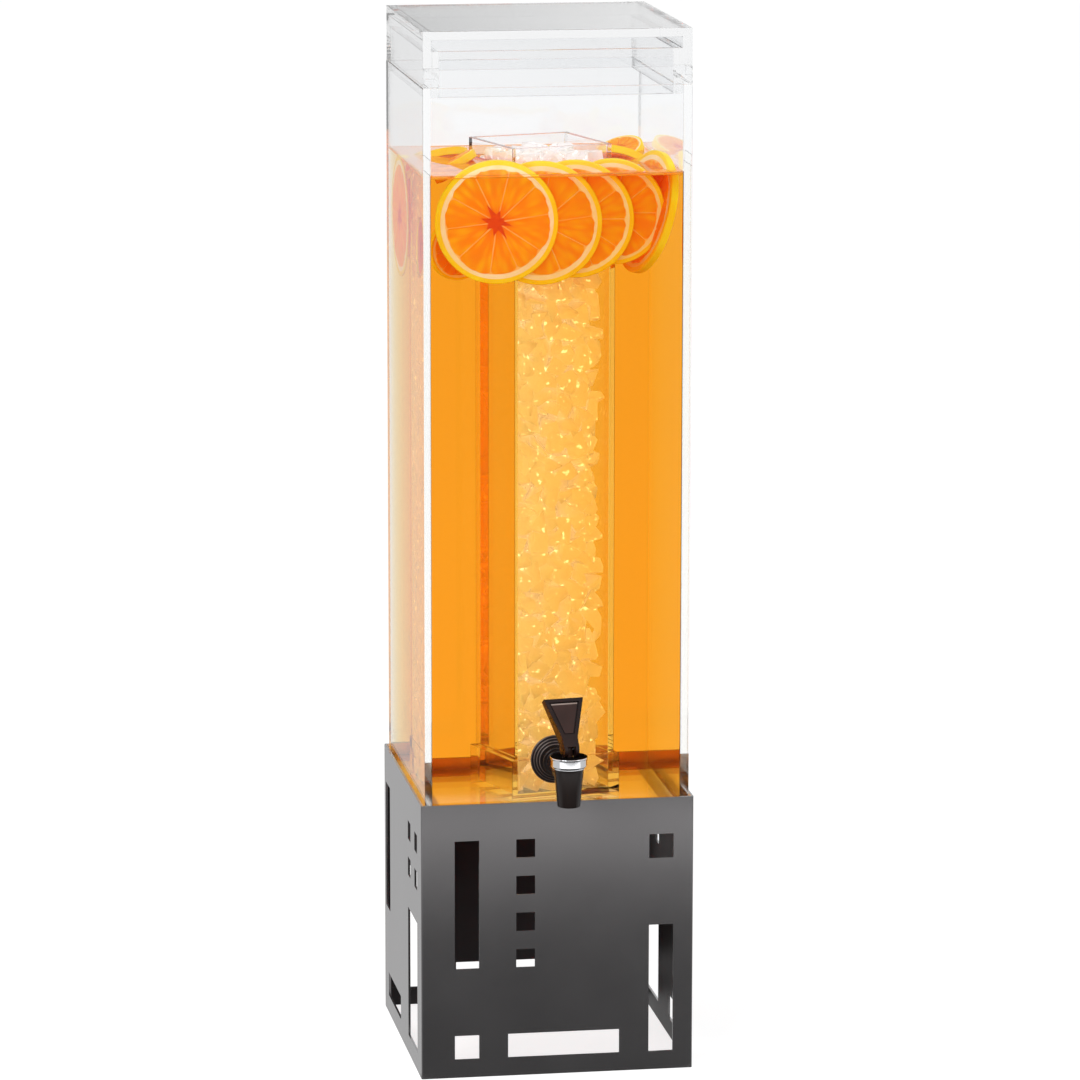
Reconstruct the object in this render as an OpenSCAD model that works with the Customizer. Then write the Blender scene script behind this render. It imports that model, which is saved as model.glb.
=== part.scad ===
// Buffet beverage dispenser: a clear square reservoir stands in a cut-out sheet-metal base,
// with a lift-off lid, a lift-out ice tube and a lever faucet on the front wall.
// Millimetres, +Z up, faucet towards -Y. The origin lies on the counter,
// at the middle of the footprint that base and faucet cover together.

/* [Reservoir] */
// Outside width and depth of the reservoir
tank_w = 178; // [165:1:220]
// Height of the reservoir walls
tank_h = 489; // [350:1:600]
// Thickness of the reservoir's clear walls
tank_wall = 5.5; // [4:0.5:8]
// Thickness of the reservoir's floor
tank_floor = 6; // [4:0.5:10]

/* [Base] */
// Height of the base
base_h = 188; // [170:1:240]
// Thickness of the base's sheet metal
sheet_t = 1.5; // [1:0.1:3]
// Gap between reservoir and base panel on each side
base_gap = 1.5; // [0.5:0.1:3]
// Depth that the reservoir stands below the base's rim
seat_depth = 12.5; // [8:0.5:14]
// Width of the shelf on each support ledge
ledge_w = 16; // [8:1:30]
// Height of the welded flange on each support ledge
ledge_flange = 10; // [6:1:11]

/* [Base cut-outs] */
// Height of the lowest row of cut-outs above the counter
cut_bottom = 12.5; // [8:0.5:20]
// Distance of the highest row of cut-outs below the rim
cut_top = 25; // [25:0.5:32]
// Width of the slots in the front and back panels
slot_w = 16.5; // [10:0.5:20]
// Height of the tall slots in all panels
slot_h = 88; // [60:1:95]
// Left margin of the left slot in the front and back panels
slot_left = 22.5; // [15:0.5:30]
// Right margin of the right slot in the front and back panels
slot_right = 13.5; // [8:0.5:20]
// Left margin of the wide low slot in the front and back panels
wide_left = 58.5; // [55:0.5:65]
// Right margin of the wide low slot in the front and back panels
wide_right = 50; // [42:0.5:60]
// Width of the small squares
square_w = 12.7; // [8:0.1:16]
// Distance from one small square to the next one below it
square_pitch = 25.2; // [20:0.1:28]
// Number of small squares in the front and back panels' column
square_rows = 4; // [1:1:4]
// Left margin of the column of small squares
square_left = 64; // [55:0.5:75]
// Left margin of the tall slot in the side panels
side_slot_left = 8; // [5:0.5:15]
// Width of the tall slot in the side panels
side_slot_w = 21; // [12:0.5:26]
// Left margin of the low slot in the side panels
side_low_left = 19.5; // [12:0.5:30]
// Width of the low slot in the side panels
side_low_w = 62; // [40:1:66]
// Right margin of the window in the side panels
side_window_right = 20; // [12:0.5:24]
// Width of the window in the side panels
side_window_w = 44.5; // [35:0.5:46]
// Height of the window in the side panels
side_window_h = 90; // [60:1:95]

/* [Lid] */
// Thickness of the lid's top plate
lid_top_t = 6; // [4:0.5:10]
// Height of the lid's skirt
skirt_h = 31; // [20:1:50]
// Step from the reservoir's outside in to the lid's outside
lid_flush = 0.3; // [0:0.1:1]
// Gap between the lid's lip and the reservoir's inside
lip_gap = 0.6; // [0.3:0.1:1.5]
// Thickness of the lip strips
lip_t = 5.5; // [3:0.5:8]
// Height of the lip strips
lip_h = 30; // [15:1:35]
// Depth that the lip reaches into the reservoir
lip_drop = 6.5; // [3:0.5:14]

/* [Ice tube] */
// Outside width of the ice tube
tube_w = 72; // [50:1:95]
// Wall of the ice tube
tube_wall = 3; // [2:0.5:5]
// Thickness of the ice tube's floor
tube_floor = 3; // [2:0.5:6]
// Height of the band around the ice tube's foot
tube_foot_h = 27; // [10:1:60]
// Thickness of the band around the ice tube's foot
tube_foot_t = 3; // [2:0.5:5]
// Distance of the ice tube's rim below the reservoir's rim
tube_headroom = 45.5; // [10:0.5:120]
// Turn of the loose ice tube, in degrees
tube_turn = 15; // [-45:1:45]
// Distance of the loose ice tube off the middle of the reservoir
tube_off = 2; // [-8:0.5:8]

/* [Faucet body] */
// Height of the shank's axis above the base's rim
faucet_rise = 28.5; // [25:0.5:60]
// Distance of the spout's axis in front of the reservoir
faucet_reach = 57; // [35:0.5:80]
// Distance of the faucet off the middle of the front wall
faucet_off = -1.7; // [-8:0.1:8]
// Radius of the threaded shank
shank_r = 8; // [7:0.1:9]
// Radius of the bore through the shank
shank_bore_r = 4.5; // [3:0.1:5]
// Radial gap between the shank and the hole in the wall
hole_gap = 0.25; // [0.1:0.05:1]
// Length of shank left over past the nut
shank_tail = 2; // [0.5:0.5:6]
// Radius of the barrel between collar and spout
barrel_r = 7; // [6:0.1:7]
// Radius of the collar that clamps the washer
collar_r = 9.5; // [9:0.1:11]
// Length of the collar
collar_t = 5; // [3:0.5:8]
// Radius of the spout at its top
spout_top_r = 10; // [9.5:0.1:11]
// Radius of the spout at its tip
spout_tip_r = 7.5; // [7:0.1:9]
// Distance of the spout's tip below the shank's axis
spout_drop = 18.5; // [16:0.5:22]
// Distance of the spout's shoulder above the shank's axis
spout_rise = 7.2; // [7.1:0.1:10]
// Chamfer at the spout's tip
tip_chamfer = 0.8; // [0.2:0.1:1.5]
// Radius of the outlet
outlet_r = 5.2; // [3.5:0.1:5.4]
// Height of the valve seat above the spout's tip
seat_rise = 9; // [6:0.5:9.5]
// Radius of the valve chamber
chamber_r = 7; // [6.6:0.1:7.2]
// Radius of the threaded neck under the bonnet
neck_r = 8.9; // [8.4:0.1:9.2]

/* [Bonnet] */
// Radius of the bonnet
bonnet_r = 12.5; // [11:0.1:15]
// Height of the bonnet
bonnet_h = 7.8; // [6:0.1:12]
// Thickness of the bonnet's top
bonnet_top_t = 2; // [1.5:0.1:3]
// Height of the bonnet's tapered foot
bonnet_foot_h = 2.4; // [1:0.1:4]
// Rounding of the bonnet's top edge
bonnet_round = 1; // [0.4:0.1:1.8]
// Radial gap of the threaded pieces
thread_gap = 0.05; // [0.02:0.01:0.1]

/* [Washers and nut] */
// Radius of the outer washer
washer_r = 16.4; // [13:0.1:20]
// Thickness of the outer washer at its middle
washer_t = 5; // [3:0.5:8]
// Thickness of the outer washer at its edge
washer_edge_t = 1.6; // [1:0.1:2.5]
// Number of steps on the outer washer
washer_steps = 4; // [2:1:6]
// Radius of the inner washer
inner_washer_r = 12.5; // [11:0.5:18]
// Thickness of the inner washer
inner_washer_t = 2; // [1:0.5:4]
// Width of the nut across its flats
nut_af = 21; // [19:0.5:30]
// Thickness of the nut
nut_t = 8; // [5:0.5:12]

/* [Valve] */
// Radius of the stem
stem_r = 2.5; // [2.2:0.1:2.7]
// Radial gap between the stem and the bonnet
stem_gap = 0.15; // [0.05:0.05:0.4]
// Radius of the stem's button, which holds the seat cup
button_r = 3.4; // [2.9:0.1:3.8]
// Thickness of the stem's button
button_t = 1.6; // [1:0.1:2.2]
// Thickness of the stem's collar, which carries the spring
stem_collar_t = 1.5; // [1:0.1:2]
// Radius of the seat cup
cup_r = 5.9; // [5.7:0.1:6.2]
// Thickness of the seat cup's sealing floor
cup_floor_t = 1.5; // [1:0.1:2.5]
// Thickness of the seat cup's web between button and collar
cup_web_t = 1.6; // [1:0.1:2]
// Radius of the spring's room in the seat cup
cup_bore_r = 4.2; // [4.1:0.1:4.6]
// Thickness of the seat cup's wiper lip
cup_lip_t = 2.2; // [1:0.1:2.6]
// Radial gap of the seat cup's wiper lip in the chamber
cup_lip_gap = 0.2; // [0.1:0.05:0.3]
// Gap of the wiper lip above the shank's bore
cup_lip_rise = 1; // [0.5:0.1:1.5]
// Radial gap between the stem and the seat cup
cup_gap = 0.1; // [0.05:0.05:0.3]
// Wire radius of the valve spring
spring_wire_r = 0.4; // [0.25:0.05:0.5]
// Number of turns in the valve spring
spring_turns = 6; // [4:1:8]
// Gap at the valve spring's two ends and at the seat cup's bore
spring_gap = 0.1; // [0.05:0.05:0.3]

/* [Handle] */
// Width of the handle at its neck
handle_neck_w = 10.4; // [9.5:0.1:13]
// Width of the handle at its top
handle_top_w = 27; // [16:0.5:32]
// Length of the handle above its pin
handle_l = 33; // [24:0.5:48]
// Length of the handle's neck above its pin
handle_neck_l = 5.5; // [4:0.5:9]
// Thickness of the handle at its top
handle_top_t = 5; // [3:0.1:7]
// Lean of the closed handle towards the reservoir, in degrees
handle_lean = 33; // [10:1:40]
// Turn of the handle about the stem, in degrees
handle_turn = 8; // [-45:1:45]
// Radius of the handle's cam
cam_r = 4.6; // [4.2:0.1:5.5]
// Distance of the cam's centre in front of the pin
cam_offset = 3; // [2:0.1:3.5]
// Gap between the cam and the bonnet
cam_gap = 0.2; // [0.1:0.05:0.4]
// Radius of the handle's hub around the pin
hub_r = 3.8; // [3.6:0.1:4]
// Step between the handle's round cheeks and its flat faces
cheek_step = 0.3; // [0.2:0.1:0.6]
// Gap between the fork and the stem on each side
fork_gap = 0.2; // [0.1:0.05:0.4]
// Gap between the fork's roof and the stem's head
roof_gap = 0.5; // [0.3:0.1:0.8]
// Radius of the pin
pin_r = 1.2; // [1:0.1:1.4]
// Radial gap between the pin and the stem
pin_gap = 0.05; // [0.02:0.01:0.1]
// Distance of the pin's ends inside the fork's sides
pin_inset = 0.2; // [0.1:0.1:0.6]
// Width of the rim around the handle's panel
panel_rim = 2.6; // [1.5:0.1:3.5]
// Width of the groove around the handle's panel
panel_groove = 1; // [0.6:0.1:1.5]
// Depth of the groove around the handle's panel
groove_depth = 1.2; // [0.6:0.1:1.6]
// Depth of the handle's panel below the rim
panel_depth = 0.5; // [0.2:0.1:0.8]

/* [Hidden] */
$fn = 64;
// Overlap that lets a cut run clear through a face
cut = 1;
// Facets around the spring's wire and rings along one of its turns
spring_sides = 6;
spring_rings = 16;

// Base and reservoir
base_w = tank_w + 2 * (base_gap + sheet_t);
base_in = base_w - 2 * sheet_t;
tank_z = base_h - seat_depth;
tank_in = tank_w - 2 * tank_wall;
floor_z = tank_z + tank_floor;
rim_z = tank_z + tank_h;
cut_high = base_h - cut_top;

// Lid
lid_w = tank_w - 2 * lid_flush;
lip_out = tank_in - 2 * lip_gap;
skirt_t = (lid_w - lip_out) / 2;
lip_z = rim_z - lip_drop;

// Ice tube
tube_h = rim_z - tube_headroom - floor_z;
tube_in = tube_w - 2 * tube_wall;

// Faucet, with its shank on the axis z = axis_z and its spout at y = spout_y
axis_z = base_h + faucet_rise;
front_y = -tank_w / 2;
spout_y = front_y - faucet_reach;
tip_z = axis_z - spout_drop;
shoulder_z = axis_z + spout_rise;
seat_z = tip_z + seat_rise;
bonnet_z = shoulder_z + bonnet_h;
ceiling_z = bonnet_z - bonnet_top_t;
shank_l = washer_t + tank_wall + inner_washer_t + nut_t + shank_tail;
shank_end_y = front_y - washer_t + shank_l;
nut_y = front_y + tank_wall + inner_washer_t;

// Valve, from the seat up
button_z = seat_z + cup_floor_t + cup_gap;
web_z = button_z + button_t + cup_gap;
collar_z = web_z + cup_web_t;
spring_z = collar_z + stem_collar_t;
lip_low_z = axis_z + shank_bore_r + cup_lip_rise;
lip_high_z = lip_low_z + cup_lip_t;
spring_r = (stem_r + cup_bore_r) / 2;

// Handle
pin_z = bonnet_z + cam_gap + cam_r;
fork_w = 2 * (stem_r + fork_gap);
cheek_w = handle_neck_w - 2 * cheek_step;
handle_front = cam_offset * cos(handle_lean) + cam_r - cheek_step;
cam_v = -cam_offset * sin(handle_lean);

// Place of the base's middle, which puts the footprint's middle at the origin
home_y = (faucet_reach + bonnet_r - base_gap - sheet_t) / 2;

// Sides of the square plan, counted anticlockwise from the front
FRONT = 0;
RIGHT = 1;
BACK = 2;
LEFT = 3;

// Colours as the object shows them
COAT = [0.23, 0.22, 0.22];
CLEAR = [0.92, 0.95, 0.97, 0.35];
BLACK = [0.09, 0.08, 0.08];
CHROME = [0.85, 0.86, 0.88];
STEEL = [0.62, 0.63, 0.65];

// Puts what is drawn around the base's middle in its place
module home() translate([0, home_y, 0]) children();

// Turns what is drawn for the front to another side
module on_side(side) rotate([0, 0, 90 * side]) children();

// Puts what is drawn around the stem's axis in front of the reservoir
module at_spout() home() translate([faucet_off, spout_y, 0]) children();

// Puts what is drawn along +Z on the shank's axis, running inwards from a given y
module on_shank(y) home() translate([faucet_off, y, axis_z]) rotate([-90, 0, 0]) children();

// Puts what is drawn around the handle's pin in its place
module at_pin() at_spout() translate([0, 0, pin_z]) rotate([0, 0, handle_turn]) children();

// Upright sheet on the front side: width, thickness, height, distance of its outside, foot
module upright(w, t, h, out, z) translate([-w / 2, -out, z]) cube([w, t, h]);

// Rectangular cut-out, measured from the panel's lower left corner seen from outside
module window(left, low, w, h) translate([left, low]) square([w, h]);

// Flat panel seen from outside, with its cut-outs
module panel_sheet(w) difference() {
    square([w, base_h]);
    children();
}

// Stands a flat panel upright as the front side
module standing(w) translate([-w / 2, sheet_t - base_w / 2, 0])
    rotate([90, 0, 0]) linear_extrude(sheet_t) children();

module front_cuts() {
    right_left = base_w - slot_right - slot_w;
    window(slot_left, cut_high - slot_h, slot_w, slot_h);
    window(slot_left, cut_bottom, slot_w, slot_w);
    window(wide_left, cut_bottom, base_w - wide_left - wide_right, slot_w);
    window(right_left, cut_high - slot_w, slot_w, slot_w);
    window(right_left, cut_bottom, slot_w, slot_h);
    for (row = [1 : square_rows])
        window(square_left, cut_high - square_w - (row - 1) * square_pitch, square_w, square_w);
}

// The side panels stand between the front and back panels, so their margins lose one sheet
module side_cuts() {
    window_left = base_in - side_window_right + sheet_t - side_window_w;
    window(side_slot_left - sheet_t, cut_high - slot_h, side_slot_w, slot_h);
    window(side_low_left - sheet_t, cut_bottom, side_low_w, slot_w);
    window(window_left, cut_bottom, side_window_w, side_window_h);
    for (row = [0, 1], column = [0, 1])
        window(window_left + column * (side_window_w - square_w),
            cut_high - square_w - row * square_pitch, square_w, square_w);
}

module cross_panel(side) color(COAT) home() on_side(side)
    standing(base_w) panel_sheet(base_w) front_cuts();

module side_panel(side) color(COAT) home() on_side(side)
    standing(base_in) panel_sheet(base_in) side_cuts();

module base_front_panel() cross_panel(FRONT);
module base_back_panel() cross_panel(BACK);
module base_left_panel() side_panel(LEFT);
module base_right_panel() side_panel(RIGHT);

// Welded angle whose shelf carries the reservoir's edge
module support_ledge(side, l) color(COAT) home() on_side(side) {
    upright(l, ledge_w, sheet_t, base_in / 2, tank_z - sheet_t);
    upright(l, sheet_t, ledge_flange - sheet_t, base_in / 2, tank_z - ledge_flange);
}

module support_ledge_front() support_ledge(FRONT, base_in);
module support_ledge_back() support_ledge(BACK, base_in);
module support_ledge_left() support_ledge(LEFT, base_in - 2 * ledge_w);
module support_ledge_right() support_ledge(RIGHT, base_in - 2 * ledge_w);

// Reservoir of glued sheets: front and back cover the ends of the side walls
module tank_sheet(side, w) color(CLEAR) home() on_side(side)
    upright(w, tank_wall, tank_h, tank_w / 2, tank_z);

module reservoir_front_wall() difference() {
    tank_sheet(FRONT, tank_w);
    on_shank(front_y - cut) cylinder(r = shank_r + hole_gap, h = tank_wall + 2 * cut);
}

module reservoir_back_wall() tank_sheet(BACK, tank_w);
module reservoir_left_wall() tank_sheet(LEFT, tank_in);
module reservoir_right_wall() tank_sheet(RIGHT, tank_in);

module reservoir_floor() color(CLEAR) home()
    translate([-tank_in / 2, -tank_in / 2, tank_z]) cube([tank_in, tank_in, tank_floor]);

// Lid of glued sheets: top plate, skirt on the reservoir's rim, lip inside the skirt
module lid_top() color(CLEAR) home()
    translate([-lid_w / 2, -lid_w / 2, rim_z + skirt_h]) cube([lid_w, lid_w, lid_top_t]);

module lid_skirt(side, w) color(CLEAR) home() on_side(side)
    upright(w, skirt_t, skirt_h, lid_w / 2, rim_z);

module lid_lip(side, w) color(CLEAR) home() on_side(side)
    upright(w, lip_t, lip_h, lip_out / 2, lip_z);

module lid_skirt_front() lid_skirt(FRONT, lid_w);
module lid_skirt_back() lid_skirt(BACK, lid_w);
module lid_skirt_left() lid_skirt(LEFT, lip_out);
module lid_skirt_right() lid_skirt(RIGHT, lip_out);
module lid_lip_front() lid_lip(FRONT, lip_out);
module lid_lip_back() lid_lip(BACK, lip_out);
module lid_lip_left() lid_lip(LEFT, lip_out - 2 * lip_t);
module lid_lip_right() lid_lip(RIGHT, lip_out - 2 * lip_t);

// Ice tube of glued sheets, standing loose and a little turned on the reservoir's floor
module in_tube() home() translate([tube_off, 0, floor_z]) rotate([0, 0, tube_turn]) children();

module tube_sheet(side, w) color(CLEAR) in_tube() on_side(side)
    upright(w, tube_wall, tube_h, tube_w / 2, 0);

module ice_tube_front_wall() tube_sheet(FRONT, tube_w);
module ice_tube_back_wall() tube_sheet(BACK, tube_w);
module ice_tube_left_wall() tube_sheet(LEFT, tube_in);
module ice_tube_right_wall() tube_sheet(RIGHT, tube_in);

module ice_tube_floor() color(CLEAR) in_tube()
    translate([-tube_in / 2, -tube_in / 2, 0]) cube([tube_in, tube_in, tube_floor]);

// Band of glued strips that widens the tube's foot
module tube_foot(side, w) color(CLEAR) in_tube() on_side(side)
    upright(w, tube_foot_t, tube_foot_h, tube_w / 2 + tube_foot_t, 0);

module ice_tube_foot_front() tube_foot(FRONT, tube_w + 2 * tube_foot_t);
module ice_tube_foot_back() tube_foot(BACK, tube_w + 2 * tube_foot_t);
module ice_tube_foot_left() tube_foot(LEFT, tube_w);
module ice_tube_foot_right() tube_foot(RIGHT, tube_w);

// Faucet body: tapered spout with a threaded neck, carried on a barrel, collar and shank
module spout_outside() rotate_extrude() polygon([
    [0, tip_z], [spout_tip_r - tip_chamfer, tip_z], [spout_tip_r, tip_z + tip_chamfer],
    [spout_top_r, shoulder_z], [neck_r, shoulder_z],
    [neck_r, ceiling_z - thread_gap], [0, ceiling_z - thread_gap]
]);

module faucet_body() color(BLACK) difference() {
    union() {
        at_spout() spout_outside();
        on_shank(spout_y) cylinder(r = barrel_r, h = faucet_reach - washer_t);
        on_shank(front_y - washer_t - collar_t) cylinder(r = collar_r, h = collar_t);
        on_shank(front_y - washer_t) cylinder(r = shank_r, h = shank_l);
    }
    at_spout() translate([0, 0, tip_z - cut]) cylinder(r = outlet_r, h = seat_rise + 2 * cut);
    at_spout() translate([0, 0, seat_z]) cylinder(r = chamber_r, h = ceiling_z - seat_z + cut);
    on_shank(spout_y) cylinder(r = shank_bore_r, h = shank_end_y - spout_y + cut);
}

// Chrome bonnet: tapered foot, straight band, rounded edge, flat top with the stem's hole
module faucet_bonnet() color(CHROME) at_spout() difference() {
    rotate_extrude() {
        polygon([
            [0, shoulder_z], [spout_top_r, shoulder_z], [bonnet_r, shoulder_z + bonnet_foot_h],
            [bonnet_r, bonnet_z - bonnet_round], [bonnet_r - bonnet_round, bonnet_z - bonnet_round],
            [bonnet_r - bonnet_round, bonnet_z], [0, bonnet_z]
        ]);
        translate([bonnet_r - bonnet_round, bonnet_z - bonnet_round]) intersection() {
            circle(bonnet_round);
            square(bonnet_round);
        }
    }
    translate([0, 0, shoulder_z - cut])
        cylinder(r = neck_r + thread_gap, h = ceiling_z - shoulder_z + cut);
    translate([0, 0, shoulder_z]) cylinder(r = stem_r + stem_gap, h = bonnet_h + cut);
}

// Rubber washer outside the wall, stepped down from its middle to its edge
module outer_washer() {
    step_r = (washer_r - collar_r) / washer_steps;
    step_t = (washer_t - washer_edge_t) / (washer_steps - 1);
    color(BLACK) on_shank(front_y - washer_t) difference() {
        for (i = [0 : washer_steps - 1])
            translate([0, 0, washer_t - washer_edge_t - i * step_t])
                cylinder(r = washer_r - i * step_r, h = washer_edge_t + i * step_t);
        translate([0, 0, -cut]) cylinder(r = shank_r + hole_gap, h = washer_t + 2 * cut);
    }
}

module inner_washer() color(BLACK) on_shank(front_y + tank_wall) difference() {
    cylinder(r = inner_washer_r, h = inner_washer_t);
    translate([0, 0, -cut]) cylinder(r = shank_r + hole_gap, h = inner_washer_t + 2 * cut);
}

// Hexagonal nut inside the reservoir
module shank_nut() color(BLACK) on_shank(nut_y) difference() {
    cylinder(d = nut_af / cos(30), h = nut_t, $fn = 6);
    translate([0, 0, -cut]) cylinder(r = shank_r + thread_gap, h = nut_t + 2 * cut);
}

// Seat cup: its floor closes the outlet, its lip wipes the chamber, its web holds the stem
module seat_cup() color(BLACK) at_spout() rotate_extrude() polygon([
    [0, seat_z], [cup_r, seat_z], [cup_r, lip_low_z],
    [chamber_r - cup_lip_gap, lip_low_z], [chamber_r - cup_lip_gap, lip_high_z],
    [cup_bore_r, lip_high_z], [cup_bore_r, collar_z],
    [stem_r + cup_gap, collar_z], [stem_r + cup_gap, web_z],
    [button_r + cup_gap, web_z], [button_r + cup_gap, button_z - cup_gap],
    [0, button_z - cup_gap]
]);

// Stem: button and collar hold the seat cup, the round head takes the handle's pin
module valve_stem() color(BLACK) difference() {
    at_spout() {
        translate([0, 0, button_z]) cylinder(r = button_r, h = button_t);
        translate([0, 0, button_z]) cylinder(r = stem_r, h = pin_z - button_z);
        translate([0, 0, collar_z]) cylinder(r = cup_bore_r - cup_gap, h = stem_collar_t);
        translate([0, 0, pin_z]) sphere(stem_r);
    }
    at_pin() cross_bar(pin_r + pin_gap, handle_neck_w, 0);
}

// Point of the spring's wire after a given number of turns, on its centre line
function spring_point(turns, low, high) = [
    spring_r * cos(360 * turns), spring_r * sin(360 * turns),
    low + (high - low) * turns / spring_turns
];

// Ring of points round the wire there, in the plane of the axis
function spring_ring(turns, low, high) = [
    for (s = [0 : spring_sides - 1])
        let (c = spring_point(turns, low, high), a = 360 * s / spring_sides)
        c + spring_wire_r * [cos(a) * cos(360 * turns), cos(a) * sin(360 * turns), sin(a)]
];

// Compression spring between the stem's collar and the bonnet
module valve_spring() {
    low = spring_z + spring_wire_r + spring_gap;
    high = ceiling_z - spring_wire_r - spring_gap;
    n = spring_turns * spring_rings;
    points = [for (i = [0 : n]) each spring_ring(i / spring_rings, low, high)];
    sides = [
        for (i = [0 : n - 1], s = [0 : spring_sides - 1])
            let (a = i * spring_sides + s, b = i * spring_sides + (s + 1) % spring_sides)
            each [[a, b, b + spring_sides], [a, b + spring_sides, a + spring_sides]]
    ];
    ends = [
        [for (s = [spring_sides - 1 : -1 : 0]) s],
        [for (s = [0 : spring_sides - 1]) n * spring_sides + s]
    ];
    color(STEEL) at_spout() polyhedron(points, concat(sides, ends));
}

// Front view of the handle's blade, drawn in by a margin, with its neck run down to a given foot
module blade_front(margin, foot) {
    neck = handle_neck_w / 2 - margin;
    top = handle_top_w / 2 - margin;
    polygon([
        [-neck, foot], [neck, foot], [neck, handle_neck_l],
        [top, handle_l - margin], [-top, handle_l - margin], [-neck, handle_neck_l]
    ]);
}

// Side view of the blade: its front runs straight up from the cam, its back tapers to the top
module blade_side() polygon([
    [-handle_front, cam_v], [-handle_front, handle_l],
    [handle_top_t - handle_front, handle_l], [hub_r - cheek_step, 0], [0, cam_v]
]);

// Layer of the blade's front, from a given depth below its face up to the air before it
module blade_layer(margin, depth, l) translate([0, depth - handle_front, 0])
    rotate([90, 0, 0]) linear_extrude(l) blade_front(margin, handle_neck_l);

module blade() rotate([-handle_lean, 0, 0]) difference() {
    intersection() {
        rotate([90, 0, 0]) linear_extrude(2 * handle_l, center = true) blade_front(0, -handle_l);
        rotate([90, 0, 90]) linear_extrude(handle_top_w + 2 * cut, center = true) blade_side();
    }
    difference() {
        blade_layer(panel_rim, groove_depth, groove_depth + cut);
        blade_layer(panel_rim + panel_groove, groove_depth, groove_depth - panel_depth);
    }
}

// Lying round bar across the handle, with its centre at a given distance in front of the pin
module cross_bar(r, w, front) translate([0, -front, 0]) rotate([0, 90, 0])
    cylinder(r = r, h = w, center = true);

// Forked lever: two cam cheeks ride on the bonnet, the pin crosses them behind the cam
module faucet_handle() color(BLACK) at_pin() difference() {
    union() {
        blade();
        cross_bar(cam_r, cheek_w, cam_offset);
        cross_bar(hub_r, cheek_w, 0);
    }
    translate([-fork_w / 2, -handle_l, -handle_l])
        cube([fork_w, 2 * handle_l, handle_l + stem_r + roof_gap]);
    cross_bar(pin_r + thread_gap, handle_top_w, 0);
}

module handle_pin() color(STEEL) at_pin() cross_bar(pin_r, handle_neck_w - 2 * pin_inset, 0);

base_front_panel();
base_back_panel();
base_left_panel();
base_right_panel();
support_ledge_front();
support_ledge_back();
support_ledge_left();
support_ledge_right();
reservoir_front_wall();
reservoir_back_wall();
reservoir_left_wall();
reservoir_right_wall();
reservoir_floor();
lid_top();
lid_skirt_front();
lid_skirt_back();
lid_skirt_left();
lid_skirt_right();
lid_lip_front();
lid_lip_back();
lid_lip_left();
lid_lip_right();
ice_tube_front_wall();
ice_tube_back_wall();
ice_tube_left_wall();
ice_tube_right_wall();
ice_tube_floor();
ice_tube_foot_front();
ice_tube_foot_back();
ice_tube_foot_left();
ice_tube_foot_right();
faucet_body();
faucet_bonnet();
outer_washer();
inner_washer();
shank_nut();
seat_cup();
valve_stem();
valve_spring();
faucet_handle();
handle_pin();
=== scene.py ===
import bpy
import bmesh
import math
import random
from mathutils import Matrix, Vector


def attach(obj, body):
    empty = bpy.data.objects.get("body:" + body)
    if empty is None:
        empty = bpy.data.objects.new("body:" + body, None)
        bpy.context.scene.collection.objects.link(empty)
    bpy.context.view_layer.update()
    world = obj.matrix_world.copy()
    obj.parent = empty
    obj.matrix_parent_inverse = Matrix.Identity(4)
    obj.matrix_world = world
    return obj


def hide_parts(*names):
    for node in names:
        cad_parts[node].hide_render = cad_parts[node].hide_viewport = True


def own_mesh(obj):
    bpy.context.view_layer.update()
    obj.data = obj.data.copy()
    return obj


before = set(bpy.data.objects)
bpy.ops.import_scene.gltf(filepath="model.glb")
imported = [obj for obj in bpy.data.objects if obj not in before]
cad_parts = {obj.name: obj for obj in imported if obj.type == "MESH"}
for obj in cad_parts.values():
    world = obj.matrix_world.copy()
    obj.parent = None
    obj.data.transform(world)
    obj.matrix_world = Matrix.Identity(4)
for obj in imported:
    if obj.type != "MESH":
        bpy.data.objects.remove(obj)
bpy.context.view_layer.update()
scene = bpy.context.scene
scene.view_settings.view_transform = "Standard"
scene.cycles.max_bounces = 64              # light crosses many layers of acrylic, drink and ice
scene.cycles.transmission_bounces = 64
scene.cycles.glossy_bounces = 16
scene.cycles.diffuse_bounces = 12
scene.cycles.blur_glossy = 0               # clear walls stay clear for light that leaves the ice and fruit
mm = 0.001
middleY = 33.25     # the reservoir's middle, mm from the frame's origin
random.seed(7)


# helpers

def colour(r, g, b):
    # screen colour 0-255 to a linear shader colour
    def lin(c):
        c /= 255
        return c / 12.92 if c <= 0.04045 else ((c + 0.055) / 1.055) ** 2.4
    return (lin(r), lin(g), lin(b), 1)


def skin(grain, cloud, dark, light, rough, bump, depth, **more):
    # an opaque look: scales of grain and clouds, two screen colours, gloss range, bump and its depth in mm
    return dict(more, grain=grain, cloud=cloud, dark=colour(*dark), light=colour(*light),
                rough=rough, bump=bump, depth=depth)


def asObject(name, bm):
    mesh = bpy.data.meshes.new(name)
    bm.to_mesh(mesh)
    bm.free()
    made = bpy.data.objects.new(name, mesh)
    scene.collection.objects.link(made)
    return made


def newPiece(name, bm, body, *materials):
    piece = asObject(name, bm)
    for m in materials:
        piece.data.materials.append(m)
    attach(piece, body)
    return piece


def smooth(piece, angle=35):
    for poly in piece.data.polygons:
        poly.use_smooth = True
    piece.data.set_sharp_from_angle(angle=math.radians(angle))


def softEdges(piece, width, segments=2, angle=40):
    bevel = piece.modifiers.new("soft edges", "BEVEL")
    bevel.width = width * mm
    bevel.segments = segments
    bevel.limit_method = "ANGLE"
    bevel.angle_limit = math.radians(angle)
    bevel.harden_normals = False


def splitAt(bm, geom, spot, normal):
    bmesh.ops.bisect_plane(bm, geom=geom, dist=1e-7, plane_co=spot, plane_no=normal)


def wholeOf(bm):
    return bm.verts[:] + bm.edges[:] + bm.faces[:]


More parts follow.
